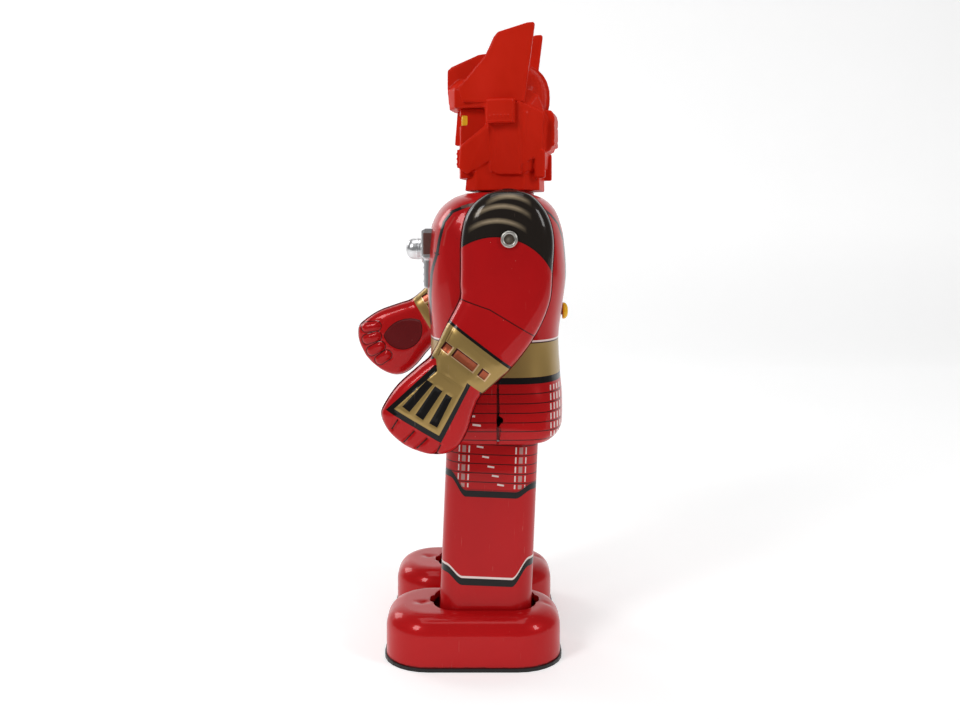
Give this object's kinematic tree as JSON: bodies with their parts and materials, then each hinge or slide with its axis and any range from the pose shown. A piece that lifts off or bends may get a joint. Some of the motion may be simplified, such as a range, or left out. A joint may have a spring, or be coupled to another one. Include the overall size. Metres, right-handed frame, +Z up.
{
  "type": "wind-up walking robot",
  "caption": "Free-standing tin wind-up walking robot with turning plastic head, swinging arms, crank-driven legs on rollered feet, winding key and stop button.",
  "frame": {"origin": "on the floor under the middle of the robot's box", "axes": "+Z up along the body, -Y the way the robot faces, +X its own left"},
  "size_m": [0.1156, 0.0871, 0.23],
  "materials": {
    "red_tin": "glossy",
    "black_tin": "satin",
    "chrome_plastic": "polished",
    "nickel": "polished",
    "steel": "brushed",
    "brass": "satin",
    "head_plastic": "semi-gloss",
    "eye_plastic": "glossy",
    "knob_plastic": "glossy",
    "roller_plastic": "matte"
  },
  "bodies": {
    "body": {"front_shell": "red_tin", "rear_shell": "red_tin", "seam_tabs": "steel", "hip_plate": "steel", "chest_plate": "chrome_plastic", "chest_nozzle": "chrome_plastic", "motor_plate_left": "steel", "motor_plate_right": "steel", "motor_pillars": "steel", "mainspring": "steel", "hip_pins": "steel", "anchor_staff": "steel"},
    "head": {"helmet": "head_plastic", "face_mask": "head_plastic", "left_fin": "head_plastic", "right_fin": "head_plastic", "left_ear_block": "head_plastic", "right_ear_block": "head_plastic", "eyes": "eye_plastic", "neck_plug": "head_plastic"},
    "left_arm": {"left_arm_outer": "red_tin", "left_arm_inner": "red_tin", "left_eyelet": "nickel", "left_shoulder_washer": "steel"},
    "right_arm": {"right_arm_outer": "red_tin", "right_arm_inner": "red_tin", "right_eyelet": "nickel", "right_shoulder_washer": "steel"},
    "winding_set": {"winding_key": "nickel", "winding_arbor": "steel", "ratchet_wheel": "steel"},
    "great_wheel_set": {"great_wheel": "brass", "click": "steel"},
    "crank_set": {"crank_arbor": "steel", "crank_pinion": "brass", "middle_wheel": "brass", "crank_discs": "steel"},
    "escape_set": {"escape_arbor": "steel", "escape_wheel": "brass"},
    "anchor_set": {"pallet_anchor": "steel"},
    "stop_set": {"stop_knob": "knob_plastic", "stop_lever": "steel"},
    "left_leg_set": {"left_leg": "red_tin", "left_hanger": "steel"},
    "right_leg_set": {"right_leg": "red_tin", "right_hanger": "steel"},
    "left_foot_set": {"left_foot_shell": "red_tin", "left_sole_plate": "black_tin", "left_ankle_pin": "steel", "left_roller_axles": "steel"},
    "right_foot_set": {"right_foot_shell": "red_tin", "right_sole_plate": "black_tin", "right_ankle_pin": "steel", "right_roller_axles": "steel"},
    "left_front_roller_set": {"left_front_roller": "roller_plastic"},
    "left_rear_roller_set": {"left_rear_roller": "roller_plastic"},
    "right_front_roller_set": {"right_front_roller": "roller_plastic"},
    "right_rear_roller_set": {"right_rear_roller": "roller_plastic"}
  },
  "joints": [
    {"name": "head_turn", "type": "hinge", "parent": "body", "child": "head", "pos_m": [0, 0.0198, 0.167], "axis": [0, 0, 1], "range_deg": [-80, 100]},
    {"name": "left_shoulder", "type": "hinge", "parent": "body", "child": "left_arm", "pos_m": [0.049, 0.0198, 0.1492], "axis": [-1, 0, 0], "continuous": true},
    {"name": "right_shoulder", "type": "hinge", "parent": "body", "child": "right_arm", "pos_m": [-0.049, 0.0198, 0.1492], "axis": [-1, 0, 0], "range_deg": [-18, 180]},
    {"name": "winding", "type": "hinge", "parent": "body", "child": "winding_set", "pos_m": [-0.02, 0.0163, 0.088], "axis": [1, 0, 0], "continuous": true},
    {"name": "great_wheel_turn", "type": "hinge", "parent": "body", "child": "great_wheel_set", "pos_m": [0.0006, 0.0163, 0.088], "axis": [1, 0, 0], "continuous": true},
    {"name": "crank_turn", "type": "hinge", "parent": "body", "child": "crank_set", "pos_m": [0, 0.0163, 0.103], "axis": [1, 0, 0], "continuous": true},
    {"name": "escape_turn", "type": "hinge", "parent": "body", "child": "escape_set", "pos_m": [0, 0.0163, 0.1145], "axis": [1, 0, 0], "continuous": true},
    {"name": "anchor_rock", "type": "hinge", "parent": "body", "child": "anchor_set", "pos_m": [-0.0045, 0.0163, 0.1225], "axis": [1, 0, 0], "range_deg": [-6, 6]},
    {"name": "stop_slide", "type": "slide", "parent": "body", "child": "stop_set", "axis": [0, 0, 1], "range_m": [0, 0.003]},
    {"name": "left_hip", "type": "hinge", "parent": "body", "child": "left_leg_set", "pos_m": [0.02325, 0.0146, 0.077], "axis": [-1, 0, 0], "range_deg": [-7, 7]},
    {"name": "right_hip", "type": "hinge", "parent": "body", "child": "right_leg_set", "pos_m": [-0.02325, 0.0146, 0.077], "axis": [-1, 0, 0], "range_deg": [-7, 7]},
    {"name": "left_ankle", "type": "hinge", "parent": "left_leg_set", "child": "left_foot_set", "pos_m": [0.02325, 0.01175, 0.00906], "axis": [-1, 0, 0], "range_deg": [-7, 7]},
    {"name": "right_ankle", "type": "hinge", "parent": "right_leg_set", "child": "right_foot_set", "pos_m": [-0.02325, 0.01175, 0.00906], "axis": [-1, 0, 0], "range_deg": [-7, 7]},
    {"name": "left_front_roll", "type": "hinge", "parent": "left_foot_set", "child": "left_front_roller_set", "pos_m": [0.025, -0.0138, 0.00375], "axis": [1, 0, 0], "continuous": true},
    {"name": "left_rear_roll", "type": "hinge", "parent": "left_foot_set", "child": "left_rear_roller_set", "pos_m": [0.025, 0.033, 0.00375], "axis": [1, 0, 0], "continuous": true},
    {"name": "right_front_roll", "type": "hinge", "parent": "right_foot_set", "child": "right_front_roller_set", "pos_m": [-0.025, -0.0138, 0.00375], "axis": [1, 0, 0], "continuous": true},
    {"name": "right_rear_roll", "type": "hinge", "parent": "right_foot_set", "child": "right_rear_roller_set", "pos_m": [-0.025, 0.033, 0.00375], "axis": [1, 0, 0], "continuous": true}
  ],
  "couplings": [
    {"joint": "crank_turn", "follows": "great_wheel_turn", "ratio": -4},
    {"joint": "escape_turn", "follows": "great_wheel_turn", "ratio": 14.4},
    {"joint": "right_hip", "follows": "left_hip", "ratio": -1},
    {"joint": "left_ankle", "follows": "left_hip", "ratio": -1},
    {"joint": "right_ankle", "follows": "left_hip", "ratio": 1}
  ]
}
